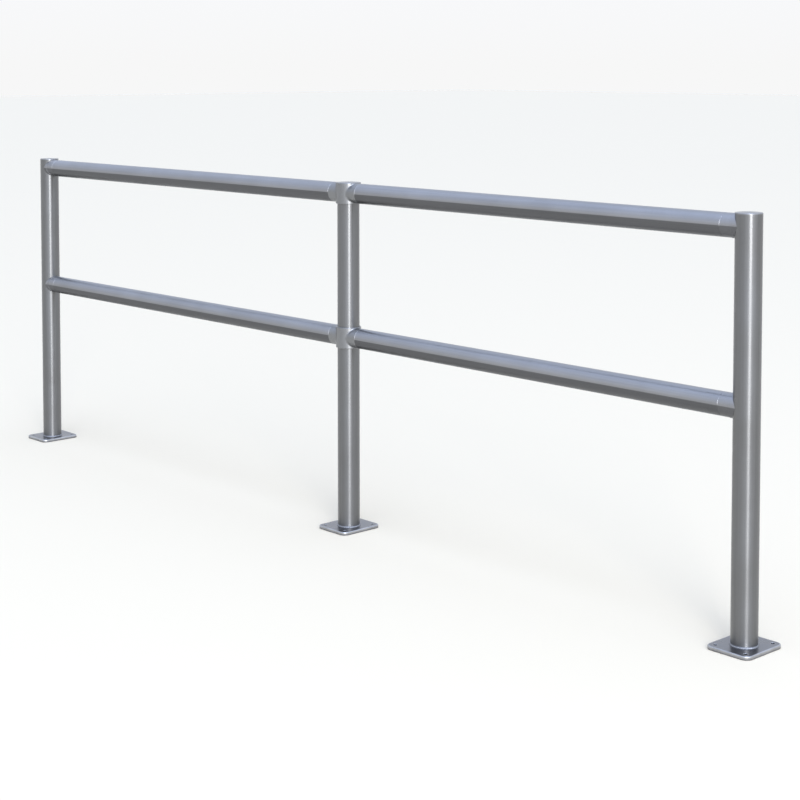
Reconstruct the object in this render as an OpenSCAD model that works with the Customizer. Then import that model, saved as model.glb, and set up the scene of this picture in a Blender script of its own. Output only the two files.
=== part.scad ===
// Pipe railing of two bays: three posts on bolted base plates, with a top rail and a low rail.
// Origin: centre of the middle post's base plate, on its underside. +X runs along the
// railing from the left post to the right post, +Z is up, and -Y is the front.

/* [Layout] */
// Distance from the left post's axis to the middle post's axis
left_bay = 1620; // [600:10:2400]
// Distance from the middle post's axis to the right post's axis
right_bay = 1380; // [600:10:2400]
// Height of the capped end posts above the floor
railing_h = 1000; // [800:5:1200]
// Drop from the railing's top to the centreline of the top rail
top_rail_drop = 32; // [31:1:60]
// Height of the low rail's centreline above the floor
low_rail_h = 555; // [250:5:650]

/* [Posts] */
// Outside diameter of a post
post_od = 63.5; // [62:0.5:90]
// Wall of a post
post_wall = 3; // [2:0.5:5]
// Thickness of an end cap's flange
cap_t = 3; // [2:0.5:6]
// Bevel round the top of an end cap
cap_bevel = 1; // [0.4:0.1:1.5]
// Length of the plug that an end cap pushes into its post
cap_plug_l = 18; // [8:1:40]
// Wall of an end cap's plug
cap_plug_wall = 3; // [2:0.5:6]

/* [Rails] */
// Outside diameter of a rail
rail_od = 57; // [40:0.5:58]
// Wall of a rail
rail_wall = 3; // [2:0.5:5]
// Bevel at the ends of a rail and of the stub it meets, which makes the seam
seam_bevel = 0.5; // [0.2:0.1:1.5]

/* [Fittings] */
// Wall of the middle post's collars
collar_wall = 4; // [4:0.5:10]
// How far a collar reaches above and below the rail it carries
collar_lip = 1.5; // [1:0.5:10]
// Bevel round the top and bottom of a collar
collar_bevel = 1.2; // [0.4:0.1:2]
// Thickness of the closed top of the tee
tee_roof_t = 5; // [3:0.5:8]
// Length of a stub, from its collar or saddle to the end of the rail
stub_l = 21; // [12:1:60]
// Thickness of the saddle between an end post and its adaptor
saddle_t = 9; // [5:0.5:20]
// How far a saddle stands proud of its rail all round
saddle_lip = 0.75; // [0:0.25:2]
// Thickness of the floor between an adaptor's saddle and its bore
adaptor_floor_t = 8; // [4:1:12]
// Length of the spigot inside a rail
spigot_l = 40; // [30:1:80]
// Wall of a spigot
spigot_wall = 4; // [3:0.5:6]
// Radial clearance of a spigot, a plug or a collar
fit_gap = 0.25; // [0.1:0.05:0.5]

/* [Screws] */
// Distance from a rail's end to the screw that holds its spigot
screw_inset = 18; // [12:1:24]
// Shank diameter of a rail screw
screw_d = 6; // [4:0.5:8]
// Head diameter of a rail screw
screw_head_d = 12; // [9:0.5:14]
// Width across the corners of the hexagon socket in a rail screw
screw_key = 4.6; // [2.5:0.1:5]
// How far a rail screw reaches past its spigot's wall
screw_tip = 1.5; // [0.5:0.5:5]
// Diameter of a collar's grub screw
grub_d = 8; // [5:1:10]
// Width across the corners of the hexagon socket in a grub screw
grub_key = 4.6; // [2.5:0.1:4.8]
// Depth of a screw's hexagon socket
key_depth = 2.5; // [1:0.5:3]
// How far a grub screw is sunk below its collar
grub_sink = 0.5; // [0:0.1:1]
// Radial clearance of a screw in its hole
screw_gap = 0.1; // [0.05:0.05:0.3]

/* [Base plates] */
// Length of a base plate along the railing
plate_l = 120; // [110:1:200]
// Width of a base plate across the railing
plate_w = 140; // [110:1:200]
// Thickness of a base plate
plate_t = 9; // [6:0.5:20]
// Radius of a base plate's corners
plate_corner_r = 18; // [6:1:30]
// Bevel round the top of a base plate
plate_bevel = 2.5; // [0.5:0.5:4]
// Distance from a base plate's edges to the centre of a bolt hole
bolt_inset = 18; // [12:1:24]
// Diameter of a bolt hole
bolt_hole_d = 9; // [8:0.5:14]
// Leg of the fillet weld between a post and its base plate
weld_leg = 3; // [2:0.5:8]

/* [Hidden] */

$fn = 96;
// Overshoot of a cut past the face it opens
cut = 1;

left_x = -left_bay;
right_x = right_bay;
top_z = railing_h - top_rail_drop;
low_z = low_rail_h;

post_r = post_od / 2;
post_bore_r = post_r - post_wall;
plug_r = post_bore_r - fit_gap;
rail_r = rail_od / 2;
rail_bore_r = rail_r - rail_wall;
spigot_r = rail_bore_r - fit_gap;
spigot_bore_r = spigot_r - spigot_wall;

collar_bore_r = post_r + fit_gap;
collar_r = collar_bore_r + collar_wall;
collar_half_h = rail_r + collar_lip;
saddle_r = rail_r + saddle_lip;
saddle_back_r = post_r + saddle_t;

// Distance from a post's axis to the end of the rail that it carries
middle_seat = collar_r + stub_l;
end_seat = saddle_back_r + stub_l;

screw_r = screw_d / 2;
screw_head_r = screw_head_d / 2;
screw_face = sqrt(rail_r * rail_r - screw_head_r * screw_head_r);
screw_l = screw_face - spigot_bore_r + screw_tip;
grub_r = grub_d / 2;
grub_face = collar_r - grub_sink;

bolt_x = plate_l / 2 - bolt_inset;
bolt_y = plate_w / 2 - bolt_inset;

TUBE = [0.66, 0.67, 0.69];
CASTING = [0.60, 0.61, 0.63];
PLATE = [0.56, 0.57, 0.62];
STEEL = [0.45, 0.45, 0.46];

// ---- Shapes that the sub-parts share ----

// A ring about Z from 0 to h, with its outer edges bevelled by b0 below and b1 above
module ring(outer_r, inner_r, h, b0, b1) {
    rotate_extrude()
        polygon([
            [inner_r, 0], [outer_r - b0, 0], [outer_r, b0],
            [outer_r, h - b1], [outer_r - b1, h], [inner_r, h],
        ]);
}

// Turns what stands on Z so that it runs along +X
module along_x() {
    rotate([0, 90, 0]) children();
}

// A slab with rounded corners whose corner radius goes from r0 below to r1 above
module rounded_slab(length, width, corner_r, h, r0, r1) {
    ex = length / 2 - corner_r;
    ey = width / 2 - corner_r;
    for (x = [-ex, ex], y = [-ey, ey])
        translate([x, y, 0]) cylinder(h = h, r1 = r0, r2 = r1);
    tapered_block(ex, ey, h, r0, r1);
    rotate([0, 0, 90]) tapered_block(ey, ex, h, r0, r1);
}

// A block of half-length run, whose half-width goes from half + r0 below to half + r1 above
module tapered_block(run, half, h, r0, r1) {
    rotate([90, 0, 90])
        translate([0, 0, -run])
            linear_extrude(2 * run)
                polygon([[-half - r0, 0], [half + r0, 0], [half + r1, h], [-half - r1, h]]);
}

// A countersunk screw about Z, its head's face screw_face above the origin; or, with a
// clearance, the hole for it, which also opens the metal above the head
module screw_shape(clearance, above) {
    rotate_extrude()
        polygon([
            [0, screw_face - screw_l], [screw_r + clearance, screw_face - screw_l],
            [screw_r + clearance, screw_face - screw_head_r + screw_r],
            [screw_head_r + clearance, screw_face],
            [screw_head_r + clearance, screw_face + above], [0, screw_face + above],
        ]);
}

// The holes under a rail for its screw, at seat + side * screw_inset
module screw_hole(seat, side) {
    translate([seat + side * screw_inset, 0, 0])
        rotate([180, 0, 0]) screw_shape(screw_gap, rail_r - screw_face + cut);
}

// A stub and its spigot, from the origin along +X, with the rail's end at seat
module stub(seat) {
    along_x() {
        ring(rail_r, 0, seat, 0, seam_bevel);
        translate([0, 0, seat - cut]) ring(spigot_r, 0, spigot_l + cut, 0, seam_bevel);
    }
}

// ---- Posts, plates, welds and caps ----

module post(x, top) {
    color(TUBE)
        translate([x, 0, plate_t]) ring(post_r, post_bore_r, top - plate_t, 0, 0);
}

module base_plate(x) {
    color(PLATE)
        translate([x, 0, 0])
            difference() {
                union() {
                    rounded_slab(plate_l, plate_w, plate_corner_r, plate_t - plate_bevel,
                        plate_corner_r, plate_corner_r);
                    translate([0, 0, plate_t - plate_bevel])
                        rounded_slab(plate_l, plate_w, plate_corner_r, plate_bevel,
                            plate_corner_r, plate_corner_r - plate_bevel);
                }
                for (hx = [-bolt_x, bolt_x], hy = [-bolt_y, bolt_y])
                    translate([hx, hy, -cut])
                        cylinder(h = plate_t + 2 * cut, d = bolt_hole_d);
            }
}

module base_weld(x) {
    color(PLATE)
        translate([x, 0, plate_t])
            rotate_extrude()
                polygon([[post_r, 0], [post_r + weld_leg, 0], [post_r, weld_leg]]);
}

module cap(x) {
    color(CASTING)
        translate([x, 0, railing_h - cap_t]) {
            ring(post_r, 0, cap_t, 0, cap_bevel);
            translate([0, 0, -cap_plug_l])
                ring(plug_r, plug_r - cap_plug_wall, cap_plug_l + cut, cap_bevel, 0);
        }
}

// ---- The middle post's fittings ----

// A collar about the middle post with a stub and a spigot for a rail on each side.
// roof_t is the thickness of metal left above the post, or 0 where the post runs through.
module middle_fitting(z, roof_t) {
    bore_top = roof_t > 0 ? collar_half_h - roof_t : collar_half_h + cut;
    color(CASTING)
        translate([0, 0, z])
            difference() {
                union() {
                    translate([0, 0, -collar_half_h])
                        ring(collar_r, 0, 2 * collar_half_h, collar_bevel, collar_bevel);
                    stub(middle_seat);
                    mirror([1, 0, 0]) stub(middle_seat);
                }
                translate([0, 0, -collar_half_h - cut])
                    cylinder(h = bore_top + collar_half_h + cut, r = collar_bore_r);
                translate([-middle_seat - spigot_l - cut, 0, 0])
                    along_x()
                        cylinder(h = 2 * (middle_seat + spigot_l + cut), r = spigot_bore_r);
                for (side = [-1, 1])
                    screw_hole(side * middle_seat, side);
                rotate([-90, 0, 0]) cylinder(h = collar_r + cut, r = grub_r + screw_gap);
            }
}

module grub_screw(z) {
    color(STEEL)
        translate([0, 0, z])
            rotate([-90, 0, 0])
                difference() {
                    translate([0, 0, post_r])
                        cylinder(h = grub_face - post_r, r = grub_r);
                    translate([0, 0, grub_face - key_depth])
                        cylinder(h = key_depth + cut, d = grub_key, $fn = 6);
                }
}

// ---- The end posts' fittings ----

// side is 1 on the left post, whose rails run along +X, and -1 on the right post
module end_saddle(x, z, side) {
    color(CASTING)
        translate([x, 0, z])
            mirror([side < 0 ? 1 : 0, 0, 0])
                difference() {
                    intersection() {
                        along_x() cylinder(h = saddle_back_r + cut, r = saddle_r);
                        translate([0, 0, -saddle_r - cut])
                            cylinder(h = 2 * (saddle_r + cut), r = saddle_back_r);
                    }
                    translate([0, 0, -saddle_r - cut])
                        cylinder(h = 2 * (saddle_r + cut), r = post_r);
                }
}

module end_adaptor(x, z, side) {
    color(CASTING)
        translate([x, 0, z])
            mirror([side < 0 ? 1 : 0, 0, 0])
                difference() {
                    stub(end_seat);
                    translate([0, 0, -rail_r - cut])
                        cylinder(h = 2 * (rail_r + cut), r = saddle_back_r);
                    translate([saddle_back_r + adaptor_floor_t, 0, 0])
                        along_x()
                            cylinder(h = stub_l + spigot_l, r = spigot_bore_r);
                    screw_hole(end_seat, 1);
                }
}

// ---- Rails and their screws ----

// A rail from x0 to x1, with a countersunk hole under each end
module rail(x0, x1, z) {
    color(TUBE)
        translate([0, 0, z])
            difference() {
                translate([x0, 0, 0])
                    along_x() ring(rail_r, rail_bore_r, x1 - x0, seam_bevel, seam_bevel);
                screw_hole(x0, 1);
                screw_hole(x1, -1);
            }
}

// The two screws that hold the rail from x0 to x1
module rail_screws(x0, x1, z) {
    color(STEEL)
        for (x = [x0 + screw_inset, x1 - screw_inset])
            translate([x, 0, z])
                rotate([180, 0, 0])
                    difference() {
                        screw_shape(0, 0);
                        translate([0, 0, screw_face - key_depth])
                            cylinder(h = key_depth + cut, d = screw_key, $fn = 6);
                    }
}

// ---- The nodes ----

left_start = left_x + end_seat;
left_end = -middle_seat;
right_start = middle_seat;
right_end = right_x - end_seat;
middle_post_top = top_z + collar_half_h - tee_roof_t;

post(left_x, railing_h - cap_t);  // left_post
post(0, middle_post_top);  // middle_post
post(right_x, railing_h - cap_t);  // right_post
base_plate(left_x);  // left_base_plate
base_plate(0);  // middle_base_plate
base_plate(right_x);  // right_base_plate
base_weld(left_x);  // left_base_weld
base_weld(0);  // middle_base_weld
base_weld(right_x);  // right_base_weld
cap(left_x);  // left_cap
cap(right_x);  // right_cap
middle_fitting(top_z, tee_roof_t);  // middle_tee
middle_fitting(low_z, 0);  // middle_cross
grub_screw(top_z);  // middle_tee_screw
grub_screw(low_z);  // middle_cross_screw
rail(left_start, left_end, top_z);  // left_top_rail
rail(left_start, left_end, low_z);  // left_low_rail
rail(right_start, right_end, top_z);  // right_top_rail
rail(right_start, right_end, low_z);  // right_low_rail
end_saddle(left_x, top_z, 1);  // left_top_saddle
end_saddle(left_x, low_z, 1);  // left_low_saddle
end_saddle(right_x, top_z, -1);  // right_top_saddle
end_saddle(right_x, low_z, -1);  // right_low_saddle
end_adaptor(left_x, top_z, 1);  // left_top_adaptor
end_adaptor(left_x, low_z, 1);  // left_low_adaptor
end_adaptor(right_x, top_z, -1);  // right_top_adaptor
end_adaptor(right_x, low_z, -1);  // right_low_adaptor
rail_screws(left_start, left_end, top_z);  // left_top_screws
rail_screws(left_start, left_end, low_z);  // left_low_screws
rail_screws(right_start, right_end, top_z);  // right_top_screws
rail_screws(right_start, right_end, low_z);  // right_low_screws
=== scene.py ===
"""Looks of the pipe railing: finishes on its CAD pieces, refined plates, welds and fillets.

Every length is in metres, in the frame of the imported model.
"""
import logging
import math
from dataclasses import dataclass, field
from enum import Enum

import bmesh
import bpy
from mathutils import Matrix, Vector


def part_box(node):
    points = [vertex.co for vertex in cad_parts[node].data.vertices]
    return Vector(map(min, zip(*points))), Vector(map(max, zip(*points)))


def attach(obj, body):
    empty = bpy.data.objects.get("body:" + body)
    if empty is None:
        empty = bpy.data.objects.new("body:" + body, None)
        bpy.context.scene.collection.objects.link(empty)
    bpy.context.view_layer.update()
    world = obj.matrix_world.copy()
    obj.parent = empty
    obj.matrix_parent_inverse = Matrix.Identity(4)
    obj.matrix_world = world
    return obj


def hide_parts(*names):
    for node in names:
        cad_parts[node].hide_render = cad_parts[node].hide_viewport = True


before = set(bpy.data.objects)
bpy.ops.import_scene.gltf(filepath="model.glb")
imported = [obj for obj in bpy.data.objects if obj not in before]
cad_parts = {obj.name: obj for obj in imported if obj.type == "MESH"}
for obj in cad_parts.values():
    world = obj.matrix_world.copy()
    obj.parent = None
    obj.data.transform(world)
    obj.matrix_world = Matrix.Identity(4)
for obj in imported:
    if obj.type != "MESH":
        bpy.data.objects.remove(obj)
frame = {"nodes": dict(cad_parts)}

log = logging.getLogger("railing")

ROOT = "root"
MM = 0.001
Point = tuple[float, float, float]
Colour = tuple[float, float, float]


class Axis(Enum):
    """The way that a turned or drawn surface runs."""

    X = "X"
    Z = "Z"


class Place(Enum):
    """A post's place along the railing, as its nodes are named."""

    LEFT = "left"
    MIDDLE = "middle"
    RIGHT = "right"


# ---- Shader trees ----


class Shader:
    """A material's node tree, with short calls for what the finishes share."""

    def __init__(self, name: str) -> None:
        """Makes an empty material with its output and Object coordinates.

        Args:
            name: the material's name.
        """
        self.material = bpy.data.materials.new(name)
        self.material.use_nodes = True
        self.tree = self.material.node_tree
        self.tree.nodes.clear()
        self.out = self.tree.nodes.new("ShaderNodeOutputMaterial")
        self.coords = self.tree.nodes.new("ShaderNodeTexCoord").outputs["Object"]

    def node(self, kind: str, **inputs: object) -> bpy.types.Node:
        """Adds a node and sets or links its inputs.

        Args:
            kind: the node's type name.
            inputs: values or output sockets by input name, with _ for a space.

        Returns:
            The new node.
        """
        made = self.tree.nodes.new(kind)
        for key, value in inputs.items():
            self.feed(made.inputs[key.replace("_", " ")], value)
        return made

    def feed(self, socket: bpy.types.NodeSocket, value: object) -> None:
        """Links a socket to another, or sets its value."""
        if isinstance(value, bpy.types.NodeSocket):
            self.tree.links.new(value, socket)
        else:
            socket.default_value = value

    def math(self, operation: str, *values: object) -> bpy.types.NodeSocket:
        """Works out one sum.

        Args:
            operation: the Math node's operation.
            values: numbers or output sockets, in order.

        Returns:
            The result's socket.
        """
        made = self.tree.nodes.new("ShaderNodeMath")
        made.operation = operation
        for socket, value in zip(made.inputs, values):
            self.feed(socket, value)
        return made.outputs[0]

    def noise(self, scale: Point, detail: float = 2.0, turn: float = 0.0) -> bpy.types.NodeSocket:
        """Makes a noise pattern on Object coordinates.

        Args:
            scale: cells per metre along each axis.
            detail: the number of finer octaves.
            turn: turn of the pattern about Z, in radians.

        Returns:
            The pattern's socket, from 0 to 1.
        """
        mapped = self.node("ShaderNodeMapping", Vector=self.coords, Scale=scale,
                           Rotation=(0.0, 0.0, turn))
        return self.node("ShaderNodeTexNoise", Vector=mapped.outputs[0], Scale=1.0,
                         Detail=detail).outputs[0]

    def remap(self, value: bpy.types.NodeSocket, low: float, high: float, to_low: float,
              to_high: float) -> bpy.types.NodeSocket:
        """Maps a value from one span to another, without going past its ends.

        Args:
            value: the socket to map.
            low: start of the span that is read.
            high: end of the span that is read.
            to_low: result at low.
            to_high: result at high.

        Returns:
            The result's socket.
        """
        made = self.node("ShaderNodeMapRange", Value=value)
        for socket, number in zip(list(made.inputs)[1:5], (low, high, to_low, to_high)):
            socket.default_value = number
        return made.outputs[0]

    def blend(self, factor: bpy.types.NodeSocket, first: object, second: object,
              kind: str = "MIX") -> bpy.types.NodeSocket:
        """Blends two colours.

        Args:
            factor: how much of the second.
            first: the first colour or its socket.
            second: the second colour or its socket.
            kind: the way they are blended.

        Returns:
            The blended colour's socket.
        """
        made = self.tree.nodes.new("ShaderNodeMix")
        made.data_type = "RGBA"
        made.blend_type = kind
        self.feed(made.inputs["Factor"], factor)
        for socket, value in ((made.inputs[6], first), (made.inputs[7], second)):
            self.feed(socket, value)
        return made.outputs[2]

    def bump(self, height: bpy.types.NodeSocket, strength: float, depth: float,
             under: object = None) -> bpy.types.NodeSocket:
        """Turns a height pattern into a normal.

        Args:
            height: the pattern.
            strength: how much of it shows.
            depth: the real height of the pattern.
            under: a normal to build on, or None.

        Returns:
            The normal's socket.
        """
        made = self.node("ShaderNodeBump", Height=height, Strength=strength, Distance=depth)
        if under is not None:
            self.feed(made.inputs["Normal"], under)
        return made.outputs[0]

    def metal(self, **inputs: object) -> bpy.types.Material:
        """Ends the tree in a metal surface.

        Args:
            inputs: the surface's inputs by name, with _ for a space.

        Returns:
            The finished material.
        """
        surface = self.node("ShaderNodeBsdfPrincipled", Metallic=1.0, **inputs)
        self.feed(self.out.inputs["Surface"], surface.outputs[0])
        return self.material


def shade(colour: Colour, amount: float) -> tuple[float, float, float, float]:
    """Returns a colour made lighter or darker by amount, with full alpha."""
    return tuple(channel * amount for channel in colour) + (1.0,)


# ---- Finishes ----


@dataclass(frozen=True)
class SatinTube:
    """Satin metal polished round its axis, which draws reflections out along the axis.

    Fine draw lines run along it, turning marks run round it, and its tone drifts a little.
    The underside factor is what is left of its colour on faces that look down: painted
    shade, standing in for the reflection of dark ground below. grain_turn is the distance
    from X = 0 past which the surface is polished round X in place of Z, as a stub is that
    leaves a collar.
    """

    name: str
    axis: Axis
    colour: Colour
    roughness: float = 0.33
    anisotropy: float = 0.8
    underside_painted_shade: float = 1.0
    grain_turn: float | None = None
    draw_lines: float = 240.0
    draw_length: float = 2.5
    turning: float = 1500.0
    turning_length: float = 70.0
    drift: float = 7.0
    contrast: float = 0.09
    relief: float = 0.03 * MM

    def across_and_along(self, across: float, along: float) -> Point:
        """Returns a noise scale with one value round the tube and one along it."""
        return (along, across, across) if self.axis is Axis.X else (across, across, along)

    def tangent(self, s: Shader) -> bpy.types.NodeSocket:
        """Makes the direction in which the surface was polished.

        Args:
            s: the material's tree.

        Returns:
            The tangent's socket.
        """
        ways = {}
        for axis in Axis:
            made = s.node("ShaderNodeTangent")
            made.direction_type = "RADIAL"
            made.axis = axis.value
            ways[axis] = made.outputs[0]
        if self.grain_turn is None:
            return ways[self.axis]
        east = s.node("ShaderNodeSeparateXYZ", Vector=s.coords).outputs["X"]
        past = s.math("GREATER_THAN", s.math("ABSOLUTE", east), self.grain_turn)
        made = s.tree.nodes.new("ShaderNodeMix")
        made.data_type = "VECTOR"
        s.feed(made.inputs["Factor"], past)
        s.feed(made.inputs[4], ways[Axis.Z])
        s.feed(made.inputs[5], ways[Axis.X])
        return made.outputs[1]

    def build(self) -> bpy.types.Material:
        """Makes the tube's material.

        Returns:
            The material.
        """
        s = Shader(self.name)
        lines = s.noise(self.across_and_along(self.draw_lines, self.draw_length), 3.0)
        turned = s.noise(self.across_and_along(self.turning_length, self.turning), 2.0)
        drift = s.noise((self.drift,) * 3, 4.0)
        mixed = s.math("ADD", s.math("MULTIPLY", lines, 0.45), s.math("MULTIPLY", turned, 0.2))
        mixed = s.math("ADD", mixed, s.math("MULTIPLY", drift, 0.35))
        tone = s.remap(mixed, 0.35, 0.65, 0.0, 1.0)
        colour = s.blend(tone, shade(self.colour, 1 - self.contrast),
                         shade(self.colour, 1 + self.contrast))
        # Painted shade: faces that look down get a darker base colour, standing in for the
        # reflection of dark ground.
        if self.underside_painted_shade < 1.0:
            up = s.node("ShaderNodeSeparateXYZ",
                        Vector=s.tree.nodes.new("ShaderNodeNewGeometry").outputs["Normal"])
            painted_shade_mask = s.remap(up.outputs["Z"], -0.02, 0.04, 0.0, 1.0)
            colour = s.blend(painted_shade_mask, s.blend(1.0, colour, (self.underside_painted_shade,) * 3 + (1.0,),
                                           "MULTIPLY"), colour)
        rough = s.remap(drift, 0.3, 0.7, self.roughness - 0.04, self.roughness + 0.05)
        relief = s.bump(turned, 0.25, self.relief, s.bump(lines, 0.3, self.relief))
        return s.metal(Base_Color=colour, Roughness=rough, Anisotropic=self.anisotropy,
                       Anisotropic_Rotation=0.25, Tangent=self.tangent(s), Normal=relief)


@dataclass(frozen=True)
class PlateSatin:
    """Satin plate with a lighter bevel (edge wear and painted highlight), fine scuffs in two
    directions and dull stains.
    """

    name: str
    colour: Colour = (0.185, 0.188, 0.204)
    bevel_wear_highlight_colour: Colour = (0.45, 0.455, 0.47)
    roughness: float = 0.27
    scuff: float = 420.0
    scuff_length: float = 14.0
    stain: float = 26.0
    relief: float = 0.03 * MM

    def build(self) -> bpy.types.Material:
        """Makes the plate's material.

        Returns:
            The material.
        """
        s = Shader(self.name)
        first = s.noise((self.scuff, self.scuff_length, self.scuff_length), 3.0, 0.6)
        second = s.noise((self.scuff, self.scuff_length, self.scuff_length), 3.0, -0.9)
        scuffs = s.math("MAXIMUM", first, second)
        stains = s.noise((self.stain,) * 3, 5.0)
        tone = s.remap(s.math("ADD", s.math("MULTIPLY", scuffs, 0.5),
                              s.math("MULTIPLY", stains, 0.5)), 0.38, 0.68, 0.0, 1.0)
        face = s.blend(tone, shade(self.colour, 0.88), shade(self.colour, 1.1))
        edge = s.node("ShaderNodeAttribute")
        edge.attribute_name = BasePlate.EDGE
        # Edge wear and painted highlight: the bevel and the eased hole rims get a lighter colour,
        # broken up by the stains.
        wear_and_highlight = s.math("MULTIPLY", edge.outputs["Fac"], s.remap(stains, 0.3, 0.6, 0.6, 1.0))
        colour = s.blend(wear_and_highlight, face, (*self.bevel_wear_highlight_colour, 1.0))
        rough = s.remap(stains, 0.3, 0.7, self.roughness - 0.03, self.roughness + 0.09)
        relief = s.bump(scuffs, 0.2, self.relief, s.bump(stains, 0.15, 4 * self.relief))
        return s.metal(Base_Color=colour, Roughness=rough, Normal=relief)


@dataclass(frozen=True)
class WeldBead:
    """Weld metal, brushed over: even in tone, with small pits and dull spots."""

    name: str
    colour: Colour = (0.25, 0.255, 0.27)
    roughness: float = 0.36
    pits: float = 800.0
    relief: float = 0.08 * MM

    def build(self) -> bpy.types.Material:
        """Makes the bead's material.

        Returns:
            The material.
        """
        s = Shader(self.name)
        spots = s.noise((self.pits,) * 3, 3.0)
        tone = s.remap(spots, 0.35, 0.65, 0.0, 1.0)
        colour = s.blend(tone, shade(self.colour, 0.8), shade(self.colour, 1.12))
        rough = s.remap(spots, 0.3, 0.7, self.roughness + 0.08, self.roughness - 0.05)
        return s.metal(Base_Color=colour, Roughness=rough, Normal=s.bump(spots, 0.4, self.relief))


@dataclass(frozen=True)
class MachinedSteel:
    """Plain steel screws with fine turning rings and blotches of oil."""

    name: str
    colour: Colour = (0.2, 0.2, 0.205)
    roughness: float = 0.28
    rings: float = 2600.0
    blotches: float = 300.0
    relief: float = 0.02 * MM

    def build(self) -> bpy.types.Material:
        """Makes the screws' material.

        Returns:
            The material.
        """
        s = Shader(self.name)
        ring = s.noise((self.rings, self.rings, 40.0), 2.0)
        blotch = s.noise((self.blotches,) * 3, 3.0)
        colour = s.blend(s.remap(blotch, 0.35, 0.65, 0.0, 1.0), shade(self.colour, 0.75),
                         shade(self.colour, 1.15))
        rough = s.remap(blotch, 0.3, 0.7, self.roughness, self.roughness + 0.12)
        return s.metal(Base_Color=colour, Roughness=rough, Normal=s.bump(ring, 0.3, self.relief))


# ---- Mesh helpers ----


def add_object(name: str, mesh: bpy.types.Mesh, material: bpy.types.Material) -> bpy.types.Object:
    """Puts a mesh in the scene with one material.

    Args:
        name: the piece's name.
        mesh: its mesh, already in place.
        material: its material.

    Returns:
        The new object.
    """
    obj = bpy.data.objects.new(name, mesh)
    bpy.context.scene.collection.objects.link(obj)
    if not mesh.materials:
        mesh.materials.append(material)
    return obj


def bridge(bm: bmesh.types.BMesh, low: list, high: list) -> None:
    """Joins two closed loops of vertices, of the same length, with quads."""
    for i, vert in enumerate(low):
        j = (i + 1) % len(low)
        bm.faces.new((vert, low[j], high[j], high[i]))


# ---- Sub-assemblies ----


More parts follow.
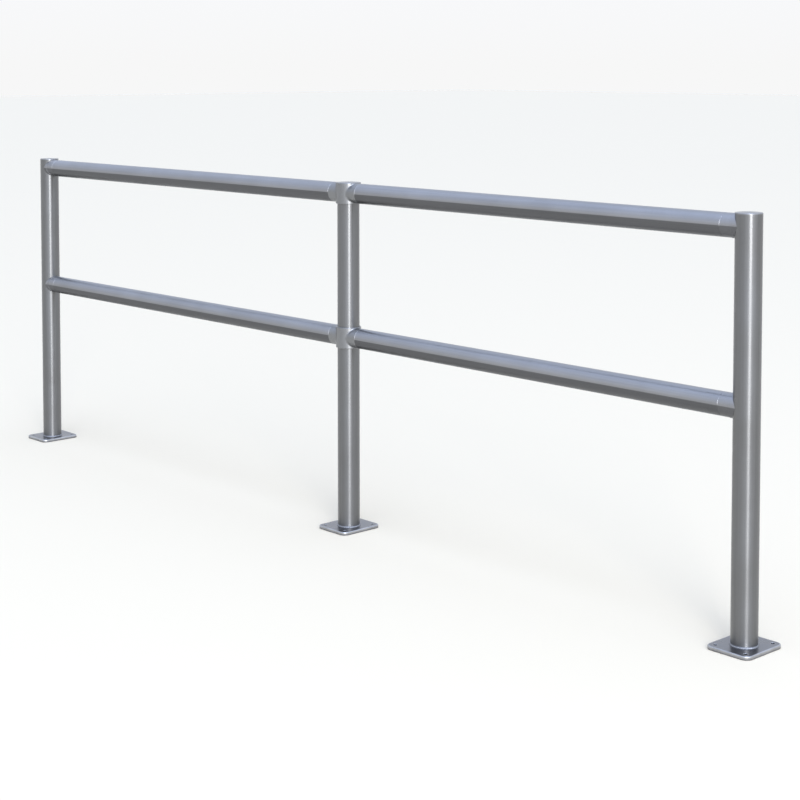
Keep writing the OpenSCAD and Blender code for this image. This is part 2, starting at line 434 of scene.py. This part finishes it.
@dataclass
class BasePlate:
    """One base plate, in place of its CAD slab: rounded bevel and eased bolt holes."""

    EDGE = "edge"

    place: Place
    corner_r: float = 18 * MM
    bevel: float = 2.5 * MM
    hole_inset: float = 18 * MM
    hole_r: float = 4.5 * MM
    hole_ease: float = 0.6 * MM
    foot_ease: float = 0.4 * MM
    # Width of the flat ring inside the bevel and round each hole over which the lighter colour of
    # edge wear and painted highlight fades.
    wear_highlight_fade: float = 1.4 * MM
    corner_steps: int = 12
    bevel_steps: int = 5
    hole_steps: int = 32
    smooth_deg: float = 35.0

    def outline(self, bm: bmesh.types.BMesh, inset: float, z: float) -> list:
        """Adds a loop of the plate's outline.

        Args:
            bm: the mesh being built.
            inset: distance inside the plate's edge.
            z: its height.

        Returns:
            The loop's vertices, anticlockwise.
        """
        (x0, y0, _), (x1, y1, _) = self.box
        r = self.corner_r - inset
        loop = []
        for quarter, (x, y) in enumerate(((x1, y1), (x0, y1), (x0, y0), (x1, y0))):
            cx = x - math.copysign(self.corner_r, x - (x0 + x1) / 2)
            cy = y - math.copysign(self.corner_r, y - (y0 + y1) / 2)
            for step in range(self.corner_steps + 1):
                a = math.pi / 2 * (quarter + step / self.corner_steps)
                loop.append(bm.verts.new((cx + r * math.cos(a), cy + r * math.sin(a), z)))
        return loop

    def circle(self, bm: bmesh.types.BMesh, centre: tuple[float, float], r: float,
               z: float) -> list:
        """Adds a loop round a bolt hole and returns its vertices."""
        turn = 2 * math.pi / self.hole_steps
        return [bm.verts.new((centre[0] + r * math.cos(i * turn),
                              centre[1] + r * math.sin(i * turn), z))
                for i in range(self.hole_steps)]

    def cover(self, bm: bmesh.types.BMesh, loops: list[list]) -> None:
        """Fills the flat between an outline and the holes in it.

        Args:
            bm: the mesh being built.
            loops: the outline's loop, then one loop for each hole.
        """
        edges = []
        for loop in loops:
            for i, vert in enumerate(loop):
                pair = (vert, loop[(i + 1) % len(loop)])
                edges.append(bm.edges.get(pair) or bm.edges.new(pair))
        bmesh.ops.triangle_fill(bm, use_beauty=True, use_dissolve=False, edges=edges)

    def build(self, material: bpy.types.Material) -> bpy.types.Object:
        """Makes the plate and lets it stand for its CAD node.

        Args:
            material: the plate's finish.

        Returns:
            The plate's object.
        """
        node = f"{self.place.value}_base_plate"
        self.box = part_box(node)
        (x0, y0, z0), (x1, y1, z1) = self.box
        bm = bmesh.new()
        edge = bm.verts.layers.float.new(self.EDGE)
        rings = [self.outline(bm, self.foot_ease, z0), self.outline(bm, 0.0, z0 + self.foot_ease)]
        for step in range(self.bevel_steps + 1):
            a = math.pi / 2 * step / self.bevel_steps
            ring = self.outline(bm, self.bevel * (1 - math.cos(a)),
                                z1 - self.bevel * (1 - math.sin(a)))
            # The bevel rings are marked for the lighter colour of edge wear and painted highlight.
            for vert in ring:
                vert[edge] = 1.0
            rings.append(ring)
        rings.append(self.outline(bm, self.bevel + self.wear_highlight_fade, z1))
        for low, high in zip(rings, rings[1:]):
            bridge(bm, low, high)
        tops, feet = [rings[-1]], [rings[0]]
        dx = (x1 - x0) / 2 - self.hole_inset
        dy = (y1 - y0) / 2 - self.hole_inset
        for sx, sy in ((1, 1), (-1, 1), (-1, -1), (1, -1)):
            centre = ((x0 + x1) / 2 + sx * dx, (y0 + y1) / 2 + sy * dy)
            hole = [self.circle(bm, centre, self.hole_r + self.hole_ease + self.wear_highlight_fade, z1),
                    self.circle(bm, centre, self.hole_r + self.hole_ease, z1),
                    self.circle(bm, centre, self.hole_r, z1 - self.hole_ease),
                    self.circle(bm, centre, self.hole_r, z0 + self.foot_ease),
                    self.circle(bm, centre, self.hole_r + self.foot_ease, z0)]
            # The eased hole rim is marked for the same lighter colour of edge wear and painted
            # highlight.
            for vert in hole[1]:
                vert[edge] = 1.0
            for outer, inner in zip(hole, hole[1:]):
                bridge(bm, outer, inner)
            tops.append(hole[0])
            feet.append(hole[-1])
        self.cover(bm, tops)
        self.cover(bm, feet)
        bmesh.ops.recalc_face_normals(bm, faces=bm.faces)
        for face in bm.faces:
            face.smooth = True
        mesh = bpy.data.meshes.new(node)
        bm.to_mesh(mesh)
        bm.free()
        mesh.set_sharp_from_angle(angle=math.radians(self.smooth_deg))
        obj = add_object(f"{node}_finished", mesh, material)
        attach(obj, ROOT)
        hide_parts(node)
        return obj


@dataclass
class WeldRipples:
    """The ripples of a weld bead, laid round the foot of a post by Geometry Nodes."""

    place: Place
    pitch: float = 2.6 * MM
    length: float = 2.1 * MM
    proud: float = 0.75 * MM
    lean_deg: float = 12.0
    segments: int = 16
    rings: int = 10

    def tree(self, material: bpy.types.Material) -> bpy.types.NodeTree:
        """Makes the tree that lays one flattened drop after another round a circle.

        Args:
            material: the bead's finish.

        Returns:
            The node group.
        """
        group = bpy.data.node_groups.new("weld_ripples", "GeometryNodeTree")
        for name, kind in (("Count", "NodeSocketInt"), ("Radius", "NodeSocketFloat"),
                           ("Centre", "NodeSocketVector"), ("Drop", "NodeSocketVector"),
                           ("Lean", "NodeSocketVector")):
            group.interface.new_socket(name, in_out="INPUT", socket_type=kind)
        group.interface.new_socket("Mesh", in_out="OUTPUT", socket_type="NodeSocketGeometry")
        add, link = group.nodes.new, group.links.new
        given = add("NodeGroupInput").outputs
        circle = add("GeometryNodeMeshCircle")
        link(given["Count"], circle.inputs["Vertices"])
        link(given["Radius"], circle.inputs["Radius"])
        drop = add("GeometryNodeMeshUVSphere")
        drop.inputs["Segments"].default_value = self.segments
        drop.inputs["Rings"].default_value = self.rings
        turn = add("ShaderNodeMath")
        turn.operation = "MULTIPLY"
        link(add("GeometryNodeInputIndex").outputs[0], turn.inputs[0])
        step = add("ShaderNodeMath")
        step.operation = "DIVIDE"
        step.inputs[0].default_value = 2 * math.pi
        link(given["Count"], step.inputs[1])
        link(step.outputs[0], turn.inputs[1])
        about = add("ShaderNodeCombineXYZ")
        link(turn.outputs[0], about.inputs["Z"])
        lean = add("FunctionNodeEulerToRotation")
        link(given["Lean"], lean.inputs[0])
        round_z = add("FunctionNodeEulerToRotation")
        link(about.outputs[0], round_z.inputs[0])
        both = add("FunctionNodeRotateRotation")
        both.rotation_space = "LOCAL"
        link(round_z.outputs[0], both.inputs["Rotation"])
        link(lean.outputs[0], both.inputs["Rotate By"])
        lay = add("GeometryNodeInstanceOnPoints")
        link(circle.outputs[0], lay.inputs["Points"])
        link(drop.outputs["Mesh"], lay.inputs["Instance"])
        link(both.outputs[0], lay.inputs["Rotation"])
        link(given["Drop"], lay.inputs["Scale"])
        shift = add("GeometryNodeTransform")
        link(lay.outputs[0], shift.inputs["Geometry"])
        link(given["Centre"], shift.inputs["Translation"])
        smooth = add("GeometryNodeSetShadeSmooth")
        link(shift.outputs[0], smooth.inputs["Geometry"])
        real = add("GeometryNodeRealizeInstances")
        link(smooth.outputs[0], real.inputs[0])
        finish = add("GeometryNodeSetMaterial")
        finish.inputs["Material"].default_value = material
        link(real.outputs[0], finish.inputs[0])
        link(finish.outputs[0], add("NodeGroupOutput").inputs[0])
        return group

    def build(self, material: bpy.types.Material) -> bpy.types.Object:
        """Lays the ripples and makes them a plain mesh.

        Args:
            material: the bead's finish.

        Returns:
            The ripples' object.
        """
        (px0, _, _), (px1, _, _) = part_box(f"{self.place.value}_post")
        (wx0, _, z0), (wx1, _, z1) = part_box(f"{self.place.value}_base_weld")
        post_r, leg = (px1 - px0) / 2, z1 - z0
        radius = post_r + leg / 2 - self.proud / 4
        name = f"{self.place.value}_weld_ripples"
        host = bpy.data.objects.new(f"{name}_host", bpy.data.meshes.new(name))
        bpy.context.scene.collection.objects.link(host)
        modifier = host.modifiers.new("ripples", "NODES")
        modifier.node_group = self.tree(material)
        values = {
            "Count": round(2 * math.pi * radius / self.pitch),
            "Radius": radius,
            "Centre": ((wx0 + wx1) / 2, 0.0, z0 + leg / 2 - self.proud / 4),
            "Drop": (leg * 0.62, self.length, self.proud),
            "Lean": (math.radians(self.lean_deg), math.radians(45), 0.0),
        }
        for item in modifier.node_group.interface.items_tree:
            if item.name in values:
                modifier[item.identifier] = values[item.name]
        bpy.context.view_layer.update()
        evaluated = host.evaluated_get(bpy.context.evaluated_depsgraph_get())
        mesh = bpy.data.meshes.new_from_object(evaluated)
        host.modifiers.remove(modifier)
        bpy.data.objects.remove(host)
        obj = add_object(name, mesh, material)
        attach(obj, ROOT)
        return obj


@dataclass
class CollarFillets:
    """The rounded corners where a middle fitting's two stubs leave its collar."""

    node: str
    widest: float = 3.6 * MM
    narrowest: float = 1.2 * MM
    sunk: float = 0.06 * MM
    steps_round: int = 96
    steps_across: int = 8

    def sizes(self) -> tuple[float, float, float]:
        """Reads the collar's radius, the stub's radius and the fitting's height."""
        (_, y0, z0), (_, y1, z1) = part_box(self.node)
        (_, sy0, _), (_, sy1, _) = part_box(self.node.replace("middle_tee", "right_top_rail")
                                          .replace("middle_cross", "right_low_rail"))
        return (y1 - y0) / 2, (sy1 - sy0) / 2, (z0 + z1) / 2

    def build(self, material: bpy.types.Material) -> bpy.types.Object:
        """Sweeps both fillets round the line where stub and collar meet.

        Args:
            material: the fitting's finish.

        Returns:
            The fillets' object.
        """
        collar_r, stub_r, z = self.sizes()
        bm = bmesh.new()
        for side in (-1, 1):
            rows = []
            for k in range(self.steps_across + 1):
                t = k / self.steps_across
                row = []
                for i in range(self.steps_round):
                    a = 2 * math.pi * i / self.steps_round
                    c, s = math.cos(a), math.sin(a)
                    f = self.narrowest + (self.widest - self.narrowest) * abs(c)
                    low_r, high_r = stub_r - self.sunk, stub_r + f
                    seat = math.sqrt(collar_r ** 2 - (stub_r * c) ** 2)
                    far = math.sqrt((collar_r - self.sunk) ** 2 - (high_r * c) ** 2)
                    start = (seat + f, low_r * c, low_r * s)
                    crease = (seat, stub_r * c, stub_r * s)
                    end = (far, high_r * c, high_r * s)
                    x, y, up = ((1 - t) ** 2 * p + 2 * t * (1 - t) * q + t ** 2 * r
                                for p, q, r in zip(start, crease, end))
                    row.append(bm.verts.new((side * x, y, z + up)))
                rows.append(row)
            for low, high in zip(rows, rows[1:]):
                bridge(bm, low, high)
        bm.normal_update()
        for face in bm.faces:
            face.smooth = True
            if face.normal.x * face.calc_center_median().x < 0:
                face.normal_flip()
        mesh = bpy.data.meshes.new(f"{self.node}_fillets")
        bm.to_mesh(mesh)
        bm.free()
        obj = add_object(f"{self.node}_fillets", mesh, material)
        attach(obj, ROOT)
        return obj


@dataclass
class Dresser:
    """Gives every CAD node that stays in view its finish."""

    post: SatinTube = SatinTube("post_satin", Axis.Z, (0.19, 0.192, 0.196))
    # The rail and socket finishes carry painted shade on faces that look down, through the
    # underside factor.
    rail: SatinTube = SatinTube("rail_satin", Axis.X, (0.285, 0.29, 0.308), underside_painted_shade=0.44)
    collar: SatinTube = SatinTube("collar_satin", Axis.Z, (0.25, 0.255, 0.265), 0.34, 0.6,
                                  grain_turn=37 * MM, draw_lines=700.0, draw_length=200.0)
    socket: SatinTube = SatinTube("socket_satin", Axis.X, (0.285, 0.29, 0.308), 0.35, 0.7,
                                  underside_painted_shade=0.5, draw_lines=700.0, draw_length=200.0)
    cap: SatinTube = SatinTube("cap_satin", Axis.Z, (0.27, 0.275, 0.29), 0.34, 0.5,
                               draw_lines=500.0, draw_length=120.0)
    weld: WeldBead = WeldBead("weld_bead")
    steel: MachinedSteel = MachinedSteel("screw_steel")
    made: dict[str, bpy.types.Material] = field(default_factory=dict)

    def material(self, finish: object) -> bpy.types.Material:
        """Builds a finish once and returns its material."""
        if finish.name not in self.made:
            self.made[finish.name] = finish.build()
        return self.made[finish.name]

    def finish_for(self, node: str) -> object:
        """Picks the finish of a CAD node.

        Args:
            node: the node's name.

        Returns:
            The finish.
        """
        by_ending = (("_post", self.post), ("_rail", self.rail), ("_cap", self.cap),
                     ("_weld", self.weld), ("_screw", self.steel), ("_screws", self.steel),
                     ("_saddle", self.socket), ("_adaptor", self.socket))
        for ending, finish in by_ending:
            if node.endswith(ending):
                return finish
        return self.collar

    def dress(self, nodes: dict[str, bpy.types.Object]) -> None:
        """Sets the material of each CAD node but the plates.

        Args:
            nodes: the CAD nodes by name.
        """
        for name, obj in nodes.items():
            if name.endswith("_base_plate"):
                continue
            material = self.material(self.finish_for(name))
            obj.data.materials.clear()
            obj.data.materials.append(material)
            log.info("%s: %s", name, material.name)


# ---- Studio and camera ----


@dataclass
class ViewCamera:
    """The camera, to the right of the railing's front and a little above the top rail."""

    place: Point = (3.6625, -3.1728, 1.3331)
    heading_deg: float = 47.356
    pitch_deg: float = 3.208
    lens_mm: float = 76.62
    shift_y: float = -0.30

    def build(self) -> None:
        """Makes the camera and gives it to the scene."""
        data = bpy.data.cameras.new("camera")
        data.lens = self.lens_mm
        data.shift_y = self.shift_y
        obj = bpy.data.objects.new("camera", data)
        obj.location = self.place
        obj.rotation_euler = (math.radians(90 - self.pitch_deg), 0, math.radians(self.heading_deg))
        bpy.context.scene.collection.objects.link(obj)
        bpy.context.scene.camera = obj


@dataclass
class Studio:
    """A pale floor, a pale sky and one tall soft box behind the camera."""

    floor_colour: Colour = (0.94, 0.86, 0.71)
    floor_reach: float = 60.0
    floor_drop: float = 0.5 * MM
    sky_low: Colour = (0.93, 0.93, 0.93)
    sky_mid: Colour = (1.05, 1.17, 1.42)
    sky_high: Colour = (1.38, 1.6, 2.1)
    mid_height: float = 0.7
    glow: float = 2.0
    glow_power: float = 7.0
    diffuse_share: float = 0.6
    key_azimuth_deg: float = -32.5
    key_distance: float = 12.0
    key_size: tuple[float, float] = (3.4, 7.0)
    key_radiance: float = 9.0

    def panel(self, name: str, corners: list[Point], surface: bpy.types.Material) -> \
            bpy.types.Object:
        """Makes one flat staged panel.

        Args:
            name: its name.
            corners: its corners in order.
            surface: its material.

        Returns:
            The panel's object.
        """
        mesh = bpy.data.meshes.new(name)
        mesh.from_pydata(corners, [], [tuple(range(len(corners)))])
        obj = add_object(name, mesh, surface)
        return obj

    def floor(self) -> None:
        """Lays the floor just under the base plates."""
        s = Shader("floor")
        matt = s.node("ShaderNodeBsdfDiffuse", Color=(*self.floor_colour, 1.0))
        s.feed(s.out.inputs["Surface"], matt.outputs[0])
        r, z = self.floor_reach, -self.floor_drop
        self.panel("floor", [(-r, -r, z), (r, -r, z), (r, r, z), (-r, r, z)], s.material)

    def key(self) -> None:
        """Hangs the tall soft box."""
        a = math.radians(self.key_azimuth_deg)
        width, height = self.key_size
        data = bpy.data.lights.new("key", "AREA")
        data.shape = "RECTANGLE"
        data.size, data.size_y = width, height
        data.energy = self.key_radiance * math.pi * width * height
        obj = bpy.data.objects.new("key", data)
        obj.location = (self.key_distance * math.cos(a), self.key_distance * math.sin(a),
                        height / 2)
        obj.rotation_euler = (math.radians(90), 0, a + math.radians(90))
        bpy.context.scene.collection.objects.link(obj)

    def sky(self) -> None:
        """Makes the sky: pale low down, faintly blue overhead, brighter behind the camera."""
        world = bpy.data.worlds.new("studio")
        bpy.context.scene.world = world
        world.use_nodes = True
        tree = world.node_tree
        tree.nodes.clear()
        add, link = tree.nodes.new, tree.links.new
        way = add("ShaderNodeTexCoord").outputs["Generated"]
        split = add("ShaderNodeSeparateXYZ")
        link(way, split.inputs[0])
        ramp = add("ShaderNodeValToRGB")
        stops = ramp.color_ramp.elements
        stops[0].color = (*self.sky_low, 1.0)
        stops[1].color = (*self.sky_high, 1.0)
        stops.new(self.mid_height).color = (*self.sky_mid, 1.0)
        link(split.outputs["Z"], ramp.inputs[0])
        level = add("ShaderNodeCombineXYZ")
        link(split.outputs["X"], level.inputs["X"])
        link(split.outputs["Y"], level.inputs["Y"])
        unit = add("ShaderNodeVectorMath")
        unit.operation = "NORMALIZE"
        link(level.outputs[0], unit.inputs[0])
        facing = add("ShaderNodeVectorMath")
        facing.operation = "DOT_PRODUCT"
        a = math.radians(self.key_azimuth_deg)
        facing.inputs[1].default_value = (math.cos(a), math.sin(a), 0.0)
        link(unit.outputs[0], facing.inputs[0])
        value = facing.outputs["Value"]
        for operation, numbers in (("MULTIPLY_ADD", (0.5, 0.5)), ("POWER", (self.glow_power,)),
                                   ("MULTIPLY_ADD", (self.glow, 1.0))):
            sum_ = add("ShaderNodeMath")
            sum_.operation = operation
            link(value, sum_.inputs[0])
            for socket, number in zip(list(sum_.inputs)[1:], numbers):
                socket.default_value = number
            value = sum_.outputs[0]
        rays = add("ShaderNodeLightPath").outputs
        seen = rays["Is Camera Ray"]
        for name in ("Is Glossy Ray", "Is Transmission Ray"):
            either = add("ShaderNodeMath")
            either.operation = "MAXIMUM"
            link(seen, either.inputs[0])
            link(rays[name], either.inputs[1])
            seen = either.outputs[0]
        share = add("ShaderNodeMapRange")
        share.inputs["To Min"].default_value = self.diffuse_share
        link(seen, share.inputs["Value"])
        strength = add("ShaderNodeMath")
        strength.operation = "MULTIPLY"
        link(value, strength.inputs[0])
        link(share.outputs[0], strength.inputs[1])
        shine = add("ShaderNodeBackground")
        link(ramp.outputs[0], shine.inputs["Color"])
        link(strength.outputs[0], shine.inputs["Strength"])
        link(shine.outputs[0], add("ShaderNodeOutputWorld").inputs[0])

    def build(self) -> None:
        """Makes the floor, the sky and the soft box."""
        self.floor()
        self.sky()
        self.key()


def main() -> None:
    """Dresses the CAD nodes, adds the refined pieces, and sets up the studio."""
    logging.basicConfig(level=logging.INFO, format="%(message)s")
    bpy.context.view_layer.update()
    bpy.context.scene.view_settings.view_transform = "Standard"
    ViewCamera().build()
    dresser = Dresser()
    dresser.dress(frame["nodes"])
    plate_metal = PlateSatin("plate_satin").build()
    for place in Place:
        for part, material in ((BasePlate(place), plate_metal),
                               (WeldRipples(place), dresser.material(dresser.weld))):
            piece = part.build(material)
            log.info("%s: %d faces", piece.name, len(piece.data.polygons))
    for node in ("middle_tee", "middle_cross"):
        piece = CollarFillets(node).build(dresser.material(dresser.collar))
        log.info("%s: %d faces", piece.name, len(piece.data.polygons))
    Studio().build()


if __name__ == "__main__":
    main()
